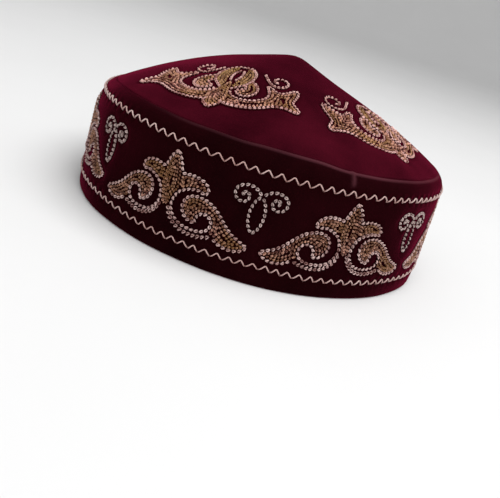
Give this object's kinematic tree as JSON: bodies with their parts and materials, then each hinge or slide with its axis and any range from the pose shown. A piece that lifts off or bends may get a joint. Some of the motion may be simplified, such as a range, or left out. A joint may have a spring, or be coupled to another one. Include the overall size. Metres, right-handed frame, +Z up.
{
  "type": "tubeteika skullcap",
  "caption": "Round velvet skullcap with an upright side band, a rounded shoulder and a low domed crown, embroidered with scrolls and zigzag lines; worn on the head",
  "frame": {"origin": "on the floor, under the middle of the rim", "axes": "+Z up out of the crown, -Y to the front, +X to the left side of a wearer who faces -Y"},
  "size_m": [0.186, 0.1884, 0.0884],
  "materials": {
    "band_velvet": "dark wine-red cotton velvet",
    "crown_velvet": "wine-red cotton velvet"
  },
  "bodies": {
    "root": {"band": "band_velvet", "crown": "crown_velvet"}
  },
  "joints": []
}
